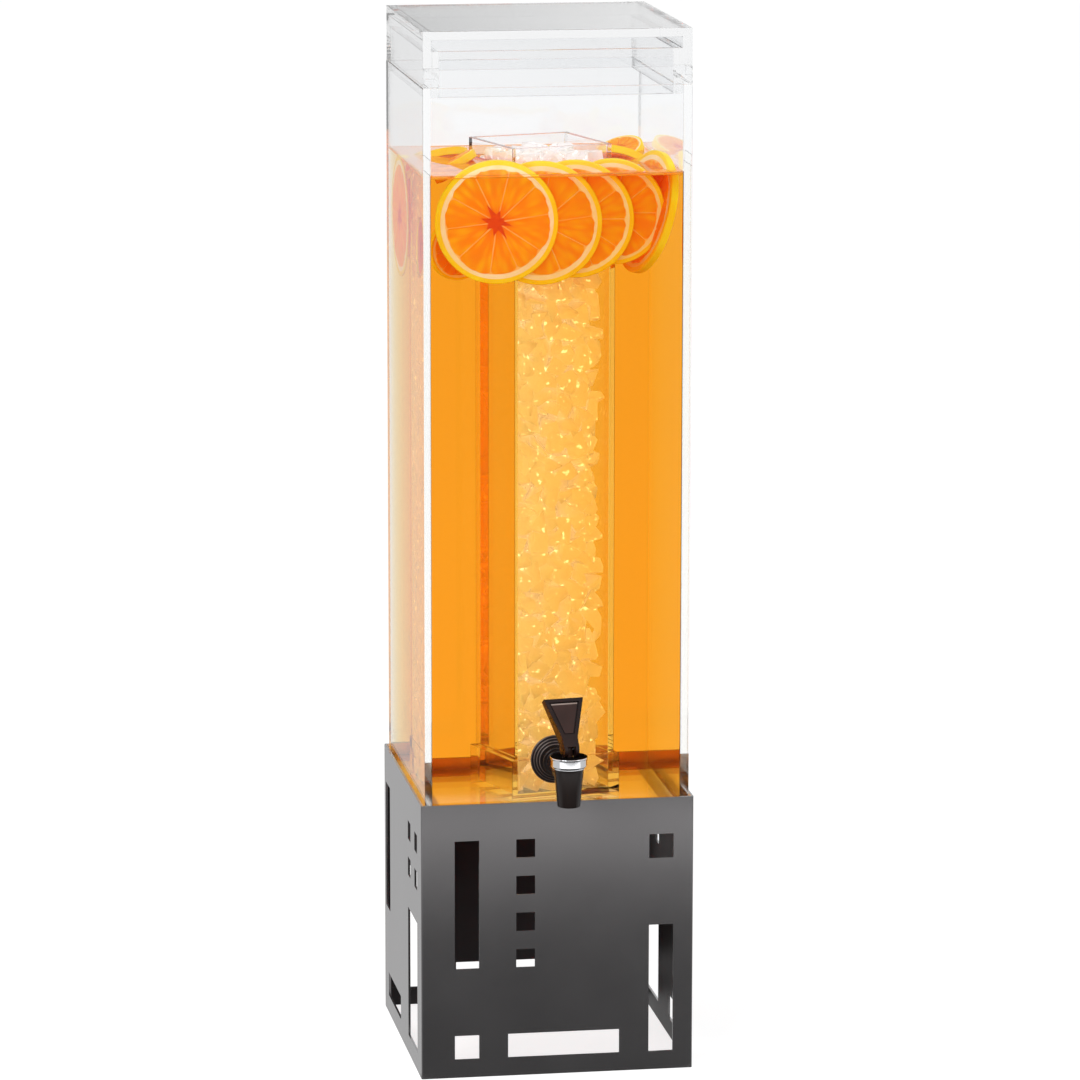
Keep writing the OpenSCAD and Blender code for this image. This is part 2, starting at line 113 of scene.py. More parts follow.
def turned(points, steps, centre, axis, start=0.0):
    # profile of (radius, height) in mm, spun round an axis through centre
    bm = bmesh.new()
    side = Vector((math.cos(start), math.sin(start), 0)) if axis == "Z" else Vector((1, 0, 0))
    along = Vector((0, 0, 1)) if axis == "Z" else Vector((0, 1, 0))
    spot = Vector(centre) * mm
    verts = [bm.verts.new(spot + (side * r + along * h) * mm) for r, h in points]
    edges = [bm.edges.new(pair) for pair in zip(verts, verts[1:])]
    bmesh.ops.spin(bm, geom=verts + edges, cent=spot, axis=along, angle=2 * math.pi,
                   steps=steps, use_merge=True, use_duplicate=False)
    bmesh.ops.remove_doubles(bm, verts=bm.verts, dist=1e-6)
    bmesh.ops.recalc_face_normals(bm, faces=bm.faces)
    return bm


def squareTurned(points):
    # profile of (half width, height) in mm, spun in four steps: a square turned round the middle
    corner = [(w * math.sqrt(2), h) for w, h in points]
    return turned(corner, 4, (0, middleY, 0), "Z", math.pi / 4)


def rounded(points, radius, steps=4):
    # the same profile with its inner corners rounded
    out = [points[0]]
    for a, b, c in zip(points, points[1:], points[2:]):
        p, q, r = Vector(a), Vector(b), Vector(c)
        cutBack = min(radius, (p - q).length * 0.45, (r - q).length * 0.45)
        first, last = q + (p - q).normalized() * cutBack, q + (r - q).normalized() * cutBack
        for i in range(steps + 1):
            t = i / steps
            out.append(tuple(first * (1 - t) ** 2 + q * 2 * t * (1 - t) + last * t ** 2))
    return out + [points[-1]]


# shared shader effects

grainLook = {"grainDetail": 3, "cloudDetail": 4, "cloudSpan": (0.3, 0.7)}


def setRange(node, side, ends):
    node.inputs[side + " Min"].default_value, node.inputs[side + " Max"].default_value = ends


def mathNode(nodes, operation):
    node = nodes.new("ShaderNodeMath")
    node.operation = operation
    return node


def colourMix(nodes):
    node = nodes.new("ShaderNodeMix")
    node.data_type = "RGBA"
    return node


def newMaterial(name):
    m = bpy.data.materials.new(name)
    m.use_nodes = True
    return m, m.node_tree.nodes, m.node_tree.links.new


def makeGrainGroup():
    # fine uneven skin of paint and moulded plastic: a height, and a mask for colour and gloss
    tree = bpy.data.node_groups.new("skin grain", "ShaderNodeTree")
    tree.interface.new_socket("Grain Scale", in_out="INPUT", socket_type="NodeSocketFloat")
    tree.interface.new_socket("Cloud Scale", in_out="INPUT", socket_type="NodeSocketFloat")
    tree.interface.new_socket("Height", in_out="OUTPUT", socket_type="NodeSocketFloat")
    tree.interface.new_socket("Cloud", in_out="OUTPUT", socket_type="NodeSocketFloat")
    nodes, link = tree.nodes, tree.links.new
    groupIn, groupOut = nodes.new("NodeGroupInput"), nodes.new("NodeGroupOutput")
    spot = nodes.new("ShaderNodeTexCoord")
    grain, cloud = nodes.new("ShaderNodeTexNoise"), nodes.new("ShaderNodeTexNoise")
    grain.inputs["Detail"].default_value = grainLook["grainDetail"]
    cloud.inputs["Detail"].default_value = grainLook["cloudDetail"]
    spread = nodes.new("ShaderNodeMapRange")
    setRange(spread, "From", grainLook["cloudSpan"])
    link(groupIn.outputs["Grain Scale"], grain.inputs["Scale"])
    link(groupIn.outputs["Cloud Scale"], cloud.inputs["Scale"])
    link(spot.outputs["Object"], grain.inputs["Vector"])
    link(spot.outputs["Object"], cloud.inputs["Vector"])
    link(cloud.outputs["Fac"], spread.inputs["Value"])
    link(grain.outputs["Fac"], groupOut.inputs["Height"])
    link(spread.outputs["Result"], groupOut.inputs["Cloud"])
    return tree


grainGroup = makeGrainGroup()


def tintedGrain(nodes, link, look):
    # the grain group, blending the look's two colours in the shader
    shader, grain, tint = nodes["Principled BSDF"], nodes.new("ShaderNodeGroup"), colourMix(nodes)
    grain.node_tree = grainGroup
    grain.inputs["Grain Scale"].default_value = look["grain"]
    grain.inputs["Cloud Scale"].default_value = look["cloud"]
    tint.inputs["A"].default_value = look["dark"]
    tint.inputs["B"].default_value = look["light"]
    link(grain.outputs["Cloud"], tint.inputs["Factor"])
    link(tint.outputs["Result"], shader.inputs["Base Color"])
    return shader, grain


def addBump(nodes, link, height, look):
    bump = nodes.new("ShaderNodeBump")
    bump.inputs["Strength"].default_value = look["bump"]
    bump.inputs["Distance"].default_value = look["depth"] * mm
    link(height, bump.inputs["Height"])
    link(bump.outputs["Normal"], nodes["Principled BSDF"].inputs["Normal"])


def addClouds(nodes, link, grain, ends, socket):
    # a range of values that follows the grain's clouds
    clouds = nodes.new("ShaderNodeMapRange")
    setRange(clouds, "To", ends)
    link(grain.outputs["Cloud"], clouds.inputs["Value"])
    link(clouds.outputs["Result"], socket)


def skinMaterial(name, look):
    # finish with grain: two colours, a gloss range, a bump, and a cover range where it is broken up
    m, nodes, link = newMaterial(name)
    shader, grain = tintedGrain(nodes, link, look)
    addClouds(nodes, link, grain, look["rough"], shader.inputs["Roughness"])
    addBump(nodes, link, grain.outputs["Height"], look)
    if "cover" in look:
        addClouds(nodes, link, grain, look["cover"], shader.inputs["Alpha"])
    shader.inputs["Metallic"].default_value = look.get("metal", 0)
    shader.inputs["Specular IOR Level"].default_value = look.get("specular", 0.5)
    return m


def clearMaterial(name, look):
    # see-through finish: clear or tinted, with a very slight clouding of its surface colour
    m, nodes, link = newMaterial(name)
    shader, grain = tintedGrain(nodes, link, look)
    if look.get("bump"):
        addBump(nodes, link, grain.outputs["Height"], look)
    shader.inputs["Roughness"].default_value = look["rough"]
    shader.inputs["IOR"].default_value = look["ior"]
    shader.inputs["Transmission Weight"].default_value = look["clear"]
    mirror = look.get("mirror", 1.0)           # below 1 where two clear things touch with no air between
    shader.inputs["Specular Tint"].default_value = (mirror, mirror, mirror, 1)
    if look.get("glow"):
        # painted glow: emission standing in for light scattered inside, with painted white glints where the
        # grain peaks
        painted_glint, glow = nodes.new("ShaderNodeMapRange"), colourMix(nodes)
        setRange(painted_glint, "From", look["painted_glint"])
        glow.inputs["A"].default_value = look["glow"]
        glow.inputs["B"].default_value = (1, 1, 1, 1)
        link(grain.outputs["Height"], painted_glint.inputs["Value"])
        link(painted_glint.outputs["Result"], glow.inputs["Factor"])
        link(glow.outputs["Result"], shader.inputs["Emission Color"])
        shader.inputs["Emission Strength"].default_value = 1
    if look.get("density"):
        soak = nodes.new("ShaderNodeVolumeAbsorption")
        soak.inputs["Color"].default_value = look["soak"]
        soak.inputs["Density"].default_value = look["density"]
        link(soak.outputs["Volume"], nodes["Material Output"].inputs["Volume"])
    return m


# camera, at the photograph's place and angle

camera = {"spot": (-0.58551, -3.60028, 1.07291), "down": 11.1533, "side": 9.1945,
          "roll": 0.0607, "lens": 185.03, "sensor": 36, "clip": (0.1, 100)}


def makeCamera():
    data = bpy.data.cameras.new("photo camera")
    data.sensor_fit = "HORIZONTAL"
    data.sensor_width = camera["sensor"]
    data.lens = camera["lens"]
    data.clip_start, data.clip_end = camera["clip"]
    eye = bpy.data.objects.new("photo camera", data)
    scene.collection.objects.link(eye)
    eye.matrix_world = (Matrix.Translation(camera["spot"])
                        @ Matrix.Rotation(-math.radians(camera["side"]), 4, "Z")
                        @ Matrix.Rotation(math.radians(90 - camera["down"]), 4, "X")
                        @ Matrix.Rotation(math.radians(camera["roll"]), 4, "Z"))
    scene.camera = eye


makeCamera()
print("camera set")


# studio: pale floor, white surroundings, soft lamps

studio = {"floorSize": 30, "floorColour": (0.34, 0.34, 0.34, 1), "floorGlow": 0.82,
          "ambient": 0.55, "inner": 1.25, "roomReach": 4.0, "front": (0.42, 0.6),
          # share of the reach, brightness
          "mirrored": [(0.015, 0.04), (0.0475, 0.045), (0.064, 0.06), (0.082, 0.085),
                       (0.1, 0.13), (0.12, 0.21), (0.141, 0.34), (0.161, 0.56),
                       (0.183, 1.05), (0.204, 2.1), (0.212, 0.05), (0.9, 0.03)],
          "sides": (0.65, 0.65, 0.65, 1),
          "ceiling": {"rise": (0.04, 0.115), "fall": (0.16, 0.24), "left": (0.06, 0.11),
                      "across": (0.1, 0.19), "shade": (0.0, 0.85)},
          "aim": (0, 0.03, 0.35),
          "key": {"spot": (-1.9, -2.4, 2.3), "size": 1.8, "power": 75},
          "fill": {"spot": (2.2, -2.0, 1.2), "size": 1.6, "power": 18}}


def shownFactor(nodes, link):
    # 1 for camera, glossy and transmission rays
    path = nodes.new("ShaderNodeLightPath")
    first, second = mathNode(nodes, "MAXIMUM"), mathNode(nodes, "MAXIMUM")
    link(path.outputs["Is Camera Ray"], first.inputs[0])
    link(path.outputs["Is Glossy Ray"], first.inputs[1])
    link(first.outputs["Value"], second.inputs[0])
    link(path.outputs["Is Transmission Ray"], second.inputs[1])
    return second.outputs["Value"]


def mirroredFactor(nodes, link):
    # 1 for mirrored rays only: a refracted ray counts as glossy too
    path, bounced = nodes.new("ShaderNodeLightPath"), mathNode(nodes, "SUBTRACT")
    bounced.use_clamp = True
    link(path.outputs["Is Glossy Ray"], bounced.inputs[0])
    link(path.outputs["Is Transmission Ray"], bounced.inputs[1])
    return bounced.outputs["Value"]


def makeWorld():
    world = bpy.data.worlds.new("studio")
    scene.world = world
    world.use_nodes = True
    nodes, link = world.node_tree.nodes, world.node_tree.links.new
    backdrop = nodes["Background"]
    # white, with a patch of grey ceiling behind that only mirrored rays reach, darker at the left
    spot, axes, tone = nodes.new("ShaderNodeTexCoord"), nodes.new("ShaderNodeSeparateXYZ"), colourMix(nodes)
    link(spot.outputs["Generated"], axes.inputs[0])
    look = studio["ceiling"]

    def ranged(axis, span, ends):
        part = nodes.new("ShaderNodeMapRange")
        setRange(part, "From", span)
        setRange(part, "To", ends)
        link(axes.outputs[axis], part.inputs["Value"])
        return part.outputs["Result"]

    seen = mirroredFactor(nodes, link)
    for part in (ranged("Z", look["rise"], (0, 1)), ranged("Z", look["fall"], (1, 0)),
                 ranged("X", look["left"], (0, 1))):
        both = mathNode(nodes, "MULTIPLY")
        link(seen, both.inputs[0])
        link(part, both.inputs[1])
        seen = both.outputs["Value"]
    tone.inputs["A"].default_value = (1, 1, 1, 1)
    link(seen, tone.inputs["Factor"])
    link(ranged("X", look["across"], look["shade"]), tone.inputs["B"])
    link(tone.outputs["Result"], backdrop.inputs["Color"])
    level = nodes.new("ShaderNodeMapRange")
    setRange(level, "To", (studio["ambient"], 1))
    link(shownFactor(nodes, link), level.inputs["Value"])
    # lamps can't shine through clear walls, so what stands inside gets their share from here
    path, inside = nodes.new("ShaderNodeLightPath"), mathNode(nodes, "MINIMUM")
    share, total = mathNode(nodes, "MULTIPLY"), mathNode(nodes, "ADD")
    share.inputs[1].default_value = studio["inner"] - 1
    link(path.outputs["Is Transmission Ray"], inside.inputs[0])
    link(path.outputs["Diffuse Depth"], inside.inputs[1])
    link(inside.outputs["Value"], share.inputs[0])
    link(share.outputs["Value"], total.inputs[0])
    link(level.outputs["Result"], total.inputs[1])
    link(total.outputs["Value"], backdrop.inputs["Strength"])


def makeFloor():
    bm = bmesh.new()
    bmesh.ops.create_grid(bm, x_segments=1, y_segments=1, size=studio["floorSize"] / 2)
    floor = asObject("floor", bm)
    m, nodes, link = newMaterial("pale floor")
    nodes.remove(nodes["Principled BSDF"])
    # white where the camera sees it, straight or through the drink, with the shadow kept
    matte, glow, both = (nodes.new("ShaderNode" + kind) for kind in ("BsdfDiffuse", "Emission", "AddShader"))
    matte.inputs["Color"].default_value = studio["floorColour"]
    level = mathNode(nodes, "MULTIPLY")
    level.inputs[1].default_value = studio["floorGlow"]
    link(shownFactor(nodes, link), level.inputs[0])
    link(level.outputs["Value"], glow.inputs["Strength"])
    link(matte.outputs["BSDF"], both.inputs[0])
    link(glow.outputs["Emission"], both.inputs[1])
    # mirrored in the object: dark at its foot, a bright reflector around it, a dim room beyond
    spot, far = nodes.new("ShaderNodeTexCoord"), nodes.new("ShaderNodeVectorMath")
    far.operation = "LENGTH"
    reach, ramp = nodes.new("ShaderNodeMapRange"), nodes.new("ShaderNodeValToRGB")
    reach.inputs["From Max"].default_value = studio["roomReach"]
    steps = ramp.color_ramp.elements
    for place, value in studio["mirrored"]:
        new = steps.new(place)
        new.color = (value, value, value, 1)
    steps.remove(steps[0])
    steps.remove(steps[-1])
    mirrored, pick = nodes.new("ShaderNodeEmission"), nodes.new("ShaderNodeMixShader")
    link(spot.outputs["Object"], far.inputs[0])
    link(far.outputs["Value"], reach.inputs["Value"])
    link(reach.outputs["Result"], ramp.inputs["Fac"])
    # the dim room lies in front, and white sides and back around it
    axes, room = nodes.new("ShaderNodeSeparateXYZ"), nodes.new("ShaderNodeMapRange")
    ahead, shown = mathNode(nodes, "DIVIDE"), colourMix(nodes)
    setRange(room, "From", [-share for share in studio["front"]])
    shown.inputs["A"].default_value = studio["sides"]
    link(spot.outputs["Object"], axes.inputs[0])
    link(axes.outputs["Y"], ahead.inputs[0])
    link(far.outputs["Value"], ahead.inputs[1])
    link(ahead.outputs["Value"], room.inputs["Value"])
    link(room.outputs["Result"], shown.inputs["Factor"])
    link(ramp.outputs["Color"], shown.inputs["B"])
    link(shown.outputs["Result"], mirrored.inputs["Color"])
    link(mirroredFactor(nodes, link), pick.inputs["Fac"])
    link(both.outputs["Shader"], pick.inputs[1])
    link(mirrored.outputs["Emission"], pick.inputs[2])
    link(pick.outputs["Shader"], nodes["Material Output"].inputs["Surface"])
    floor.data.materials.append(m)


def makeLamp(name, look):
    data = bpy.data.lights.new(name, "AREA")
    data.shape = "DISK"
    data.size = look["size"]
    data.energy = look["power"]
    lamp = bpy.data.objects.new(name, data)
    scene.collection.objects.link(lamp)
    spot = Vector(look["spot"])
    lamp.location = spot
    lamp.rotation_euler = (spot - Vector(studio["aim"])).to_track_quat("Z", "Y").to_euler()
    lamp.visible_camera = False
    lamp.visible_transmission = False


makeWorld()
makeFloor()
makeLamp("key lamp", studio["key"])
makeLamp("fill lamp", studio["fill"])
print("studio set")


# base: one sheet-metal shell with rectangular cut-outs and ledges inside

base = {"half": 92, "high": 188, "sheet": 1.5, "corner": 1.2, "cornerSteps": 4, "edge": 0.22,
        # cut-outs: left, low, width, height
        "front": [(22.5, 75, 16.5, 88), (22.5, 12.5, 16.5, 16.5), (58.5, 12.5, 75.5, 16.5),
                  (154, 146.5, 16.5, 16.5), (154, 12.5, 16.5, 88)]
                 + [(64, 150.3 - 25.2 * i, 12.7, 12.7) for i in range(4)],
        "side": [(8, 75, 21, 88), (19.5, 12.5, 62, 16.5), (119.5, 12.5, 44.5, 90)]
                + [(119.5 + 31.8 * c, 150.3 - 25.2 * r, 12.7, 12.7) for r in range(2) for c in range(2)],
        "coat": skin(2600, 14, (124, 122, 123), (134, 132, 133), (0.13, 0.18), 0.1, 0.03,
                     metal=0.78, specular=0.4),
        "seat": 175.5,
        # painted shade: the inner skin below the ledges is a dark copy of the coat
        "inside": skin(2600, 14, (50, 46, 47), (60, 56, 57), (0.4, 0.5), 0.1, 0.03,
                       metal=0.2, specular=0.2),
        # painted light: a pale steel colour on the inner skin above the ledges, standing in for the drink's
        # light falling there
        "painted_light": skin(1800, 30, (212, 208, 205), (226, 222, 219), (0.28, 0.4), 0.08, 0.03, metal=0.3)}


def cutSheet(cuts, turn):
    # one side of the shell: a flat sheet bisected along the cut-outs' edges, with the cut-outs taken out
    width, high = 2 * base["half"], base["high"]
    bm = bmesh.new()
    corners = [bm.verts.new((x * mm, 0, z * mm)) for x, z in ((0, 0), (width, 0), (width, high), (0, high))]
    bm.faces.new(corners)
    for left, low, w, h in cuts:
        for axis, place in ((0, left), (0, left + w), (2, low), (2, low + h)):
            normal = [0, 0, 0]
            normal[axis] = 1
            splitAt(bm, wholeOf(bm), Vector(normal) * place * mm, normal)
    gone = []
    for f in bm.faces:
        c = f.calc_center_median() / mm
        if any(x < c.x < x + w and z < c.z < z + h for x, z, w, h in cuts):
            gone.append(f)
    bmesh.ops.delete(bm, geom=gone, context="FACES")
    place = (Matrix.Translation((0, middleY * mm, 0)) @ Matrix.Rotation(turn, 4, "Z")
             @ Matrix.Translation((-base["half"] * mm, -base["half"] * mm, 0)))
    bmesh.ops.transform(bm, matrix=place, verts=bm.verts)
    return bm


def makeBase():
    coat = skinMaterial("graphite coat", base["coat"])
    whole = bpy.data.meshes.new("base shell")
    bm = bmesh.new()
    for i, cuts in enumerate((base["front"], base["side"], base["front"], base["side"])):
        side = cutSheet(cuts, i * math.pi / 2)
        side.to_mesh(whole)
        side.free()
        bm.from_mesh(whole)
    bmesh.ops.remove_doubles(bm, verts=bm.verts, dist=1e-5)
    bmesh.ops.dissolve_limit(bm, angle_limit=0.01, verts=bm.verts, edges=bm.edges)
    bmesh.ops.recalc_face_normals(bm, faces=bm.faces)
    upright = [e for e in bm.edges if len(e.link_faces) == 2 and e.calc_face_angle(0) > 1]
    bmesh.ops.bevel(bm, geom=upright, offset=base["corner"] * mm, segments=base["cornerSteps"], profile=0.5,
                    affect="EDGES", material=-1)
    bpy.data.meshes.remove(whole)
    # the inner skin takes the material after its outer face's: painted light above the ledges, a pale steel
    # colour for the drink's light falling there, and painted shade below, a dark copy of the coat
    splitAt(bm, wholeOf(bm), (0, 0, base["seat"] * mm), (0, 0, 1))
    for f in bm.faces:
        if f.calc_center_median().z > base["seat"] * mm:
            f.material_index = 2
    shell = newPiece("base_shell", bm, "base", coat, skinMaterial("inside painted shade coat", base["inside"]),
                     coat, skinMaterial("painted light strip", base["painted_light"]))
    wall = shell.modifiers.new("sheet", "SOLIDIFY")
    wall.thickness = base["sheet"] * mm
    wall.offset = -1
    wall.use_even_offset = True
    wall.material_offset = 1
    softEdges(shell, base["edge"])
    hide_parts("base_front_panel", "base_back_panel", "base_left_panel", "base_right_panel")
    for node in ("front", "back", "left", "right"):
        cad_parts["support_ledge_" + node].data.materials.clear()
        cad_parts["support_ledge_" + node].data.materials.append(coat)
    print("base made")


makeBase()


# reservoir, lid and ice tube: clear acrylic, each one welded shell

acrylic = {"grain": 400, "cloud": 6, "dark": (0.972, 0.978, 0.984, 1), "light": (0.99, 0.994, 0.998, 1),
           "rough": 0.0, "ior": 1.49, "clear": 1.0}
wetAcrylic = dict(acrylic, mirror=0.07)
lidAcrylic = dict(acrylic, dark=(0.9, 0.905, 0.912, 1), light=(0.95, 0.955, 0.96, 1))
# painted shade: a greyer tint used only on the flat faces of the lid's top plate
shadedPlateAcrylic = dict(acrylic, dark=(0.78, 0.785, 0.79, 1), light=(0.85, 0.855, 0.86, 1))
drinkLevel = 606
reservoir = {"half": 89, "inside": 83.5, "low": 175.5, "floor": 181.5, "rim": 664.5, "edge": 0.35}
lid = {"half": 88.7, "lipOut": 82.9, "lipIn": 77.4, "low": 664.5, "lipLow": 658, "lipTop": 688,
       "under": 695.5, "top": 701.5, "edge": 0.35}
tube = {"half": 36, "inside": 33, "low": 181.5, "floor": 184.5, "rim": 619, "foot": 39, "footTop": 208.5,
        "turn": 15, "shift": 2, "edge": 0.25}


def turnTube(bm, verts):
    # from straight at the reservoir's middle to the tube's own place
    spot = Vector((0, middleY, 0)) * mm
    move = (Matrix.Translation(spot + Vector((tube["shift"], 0, 0)) * mm)
            @ Matrix.Rotation(math.radians(tube["turn"]), 4, "Z") @ Matrix.Translation(-spot))
    bmesh.ops.transform(bm, matrix=move, verts=verts)


def markWet(bm, wet):
    # second material on the faces that the drink touches
    for f in bm.faces:
        c = f.calc_center_median() / mm
        if wet(max(abs(c.x), abs(c.y - middleY)), c.z):
            f.material_index = 1


def makeClear():
    wall = clearMaterial("reservoir acrylic", acrylic)
    r = reservoir
    bm = squareTurned([(0, r["low"]), (r["half"], r["low"]), (r["half"], r["rim"]), (r["inside"], r["rim"]),
                       (r["inside"], drinkLevel), (r["inside"], r["floor"]), (0, r["floor"])])
    markWet(bm, lambda x, z: x < r["half"] - 1 and r["floor"] - 1 < z < drinkLevel)
    shell = newPiece("reservoir_shell", bm, "reservoir", wall,
                     clearMaterial("wet reservoir acrylic", wetAcrylic))
    softEdges(shell, r["edge"])
    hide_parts("reservoir_front_wall", "reservoir_back_wall", "reservoir_left_wall",
                "reservoir_right_wall", "reservoir_floor")

    c = lid
    bm = squareTurned([(0, c["top"]), (c["half"], c["top"]), (c["half"], c["low"]), (c["lipOut"], c["low"]),
                       (c["lipOut"], c["lipLow"]), (c["lipIn"], c["lipLow"]), (c["lipIn"], c["lipTop"]),
                       (c["lipOut"], c["lipTop"]), (c["lipOut"], c["under"]), (0, c["under"])])
    bm.normal_update()
    # painted shade: the top plate's flat faces take the greyer tint
    for f in bm.faces:
        if f.calc_center_median().z > (c["under"] - 1) * mm and abs(f.normal.z) > 0.9:
            f.material_index = 1
    cover = newPiece("lid_shell", bm, "lid", clearMaterial("lid acrylic", lidAcrylic),
                     clearMaterial("lid plate painted shade acrylic", shadedPlateAcrylic))
    softEdges(cover, c["edge"])
    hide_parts("lid_top", *["lid_" + part + "_" + side for part in ("skirt", "lip")
                                    for side in ("front", "back", "left", "right")])

    t = tube
    bm = squareTurned([(0, t["low"]), (t["foot"], t["low"]), (t["foot"], t["footTop"]),
                       (t["half"], t["footTop"]), (t["half"], drinkLevel), (t["half"], t["rim"]),
                       (t["inside"], t["rim"]), (t["inside"], t["floor"]), (0, t["floor"])])
    markWet(bm, lambda x, z: x > t["half"] - 1 and z < drinkLevel)
    turnTube(bm, bm.verts)
    column = newPiece("ice_tube_shell", bm, "ice_tube", clearMaterial("tube acrylic", acrylic),
                      clearMaterial("wet tube acrylic", wetAcrylic))
    softEdges(column, t["edge"])
    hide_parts("ice_tube_floor", *["ice_tube_" + part for side in ("front", "back", "left", "right")
                                            for part in (side + "_wall", "foot_" + side)])
    print("clear shells made")


makeClear()


# faucet: moulded body, chrome bonnet, stepped washer and a forked lever

faucet = {"off": -1.7, "spoutY": -112.75, "axisZ": 216.5, "steps": 64,
          "tip": 198, "seat": 207, "shoulder": 223.7, "ceiling": 229.45,
          "outletR": 5.2, "tipR": 7.5, "topR": 10, "neckR": 8.9, "chamberR": 7,
          "barrelR": 7, "collarR": 9.5, "shankR": 8, "boreR": 4.5,
          "collarFront": -65.75, "collarBack": -60.75, "shankEnd": -38.25,
          "thread": 1.6, "threadDepth": 0.35, "threadStart": 2.0, "chamfer": 0.4,
          "spoutRound": 0.55, "barrelRound": 0.7,
          "plastic": skin(1500, 40, (26, 20, 19), (38, 30, 28), (0.1, 0.18), 0.08, 0.05, specular=0.25)}
bonnet = {"low": 223.7, "top": 231.5, "under": 229.5, "footR": 10.9, "bandR": 12.4, "bead": 0.9, "dip": 0.4,
          "holeR": 2.65, "neckR": 8.95, "round": 0.35, "steps": 96,
          "chrome": skin(900, 60, (222, 223, 226), (238, 239, 241), (0.03, 0.08), 0.02, 0.03, metal=1),
          # painted dark reflection on the ring's top face: flat black with no gloss
          "painted_dark_top": skin(1500, 60, (14, 12, 12), (22, 19, 18), (0.6, 0.7), 0.08, 0.05, specular=0.0)}
washer = {"wallY": -55.75, "frontY": -60.75, "edge": 1.6, "outR": 16.4, "boreR": 8.3, "stepR": 1.725,
          "count": 4, "round": 0.6, "steps": 96,
          "rubber": skin(1100, 50, (18, 12, 11), (28, 20, 18), (0.3, 0.44), 0.15, 0.08, specular=0.2),
          # painted highlight on the rib crests
          "painted_rib_highlight": skin(1100, 50, (70, 58, 54), (104, 92, 87), (0.22, 0.34), 0.15, 0.08)}
handle = {"pinZ": 236.3, "turn": 8, "lean": 33, "front": -6.816, "neck": 5.2, "top": 13.5, "neckTop": 5.5,
          "high": 33, "foot": -1.63, "footBack": 0, "hubBack": 3.5, "topBack": -1.816,
          "rim": 2.4, "groove": 0.9, "grooveDeep": 1.2, "panelUp": 0.75,
          "camR": 4.6, "camFront": -3, "hubR": 3.8, "cheek": 9.8, "forkHalf": 2.7, "forkTop": 3.0,
          "pinR": 1.25, "edge": 0.3, "shine": 0.9, "steps": 48,
          "plastic": skin(1300, 60, (26, 14, 12), (38, 22, 19), (0.24, 0.36), 0.1, 0.06, specular=0.22),
          "panel": skin(1300, 60, (48, 30, 26), (60, 39, 34), (0.3, 0.42), 0.1, 0.06, specular=0.22),
          # painted highlight along the panel's top edge
          "line": skin(1300, 60, (138, 120, 112), (160, 142, 134), (0.2, 0.3), 0.05, 0.04)}
spring = {"radius": 3.35, "wire": 0.4, "low": 213.9, "high": 229.0, "turns": 6, "round": 8, "steps": 20,
          "seat": 213.4, "keep": 0.87,
          "steel": skin(1800, 300, (176, 176, 178), (206, 206, 208), (0.18, 0.3), 0.05, 0.03, metal=1)}
innards = {"inner_washer": skin(1100, 50, (24, 19, 18), (36, 30, 28), (0.42, 0.55), 0.15, 0.08),
           "shank_nut": skin(1500, 40, (28, 23, 22), (42, 35, 33), (0.28, 0.4), 0.1, 0.06),
           "seat_cup": skin(800, 70, (58, 54, 53), (74, 70, 68), (0.4, 0.52), 0.1, 0.05),
           "valve_stem": skin(1300, 80, (74, 50, 43), (98, 68, 58), (0.2, 0.3), 0.08, 0.05),
           "handle_pin": skin(1800, 200, (182, 182, 184), (210, 210, 212), (0.14, 0.26), 0.05, 0.03,
                              metal=1)}


def rod(radius, low, high, steps, centre, axis):
    return turned([(0, low), (radius, low), (radius, high), (0, high)], steps, centre, axis)


def combined(bm, other, operation):
    # union or difference of two closed forms
    first, second = asObject("working form", bm), asObject("working form", other)
    boolean = first.modifiers.new("combine", "BOOLEAN")
    boolean.operation = operation
    boolean.solver = "EXACT"
    boolean.object = second
    result = bmesh.new()
    result.from_object(first, bpy.context.evaluated_depsgraph_get())
    for form in (first, second):
        mesh = form.data
        bpy.data.objects.remove(form)
        bpy.data.meshes.remove(mesh)
    return result


def makeBody():
    f = faucet
    spot, axis = (f["off"], f["spoutY"], 0), (f["off"], 0, f["axisZ"])
    spout = rounded([(f["neckR"], f["ceiling"]), (f["neckR"], f["shoulder"]), (f["topR"], f["shoulder"]),
                     (f["tipR"], f["tip"]), (f["outletR"], f["tip"]), (f["outletR"], f["seat"]),
                     (f["chamberR"], f["seat"]), (f["chamberR"], f["ceiling"])], f["spoutRound"])
    bm = turned(spout + spout[:1], f["steps"], spot, "Z")
    barrel = rounded([(0, f["spoutY"]), (f["barrelR"], f["spoutY"]), (f["barrelR"], f["collarFront"]),
                      (f["collarR"], f["collarFront"]), (f["collarR"], f["collarBack"]),
                      (f["shankR"], f["collarBack"])], f["barrelRound"])
    pitch = f["collarBack"] + f["threadStart"]
    while pitch < f["shankEnd"] - f["thread"]:
        barrel += [(f["shankR"], pitch), (f["shankR"] - f["threadDepth"], pitch + f["thread"] / 2)]
        pitch += f["thread"]
    barrel += [(f["shankR"], pitch), (f["shankR"] - f["chamfer"], f["shankEnd"]), (0, f["shankEnd"])]
    # the barrel, with the spout's chamber cut out of it, joins the spout, and the waterway runs through both
    arm = turned(barrel, f["steps"], axis, "Y")
    room = rod(f["chamberR"], f["seat"], f["ceiling"], f["steps"], spot, "Z")
    arm = combined(arm, room, "DIFFERENCE")
    bm = combined(bm, arm, "UNION")
    bore = rod(f["boreR"], f["spoutY"], 0, f["steps"], axis, "Y")
    bm = combined(bm, bore, "DIFFERENCE")
    body = newPiece("faucet_spout", bm, "reservoir", skinMaterial("black faucet plastic", f["plastic"]))
    smooth(body, 40)
    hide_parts("faucet_body")


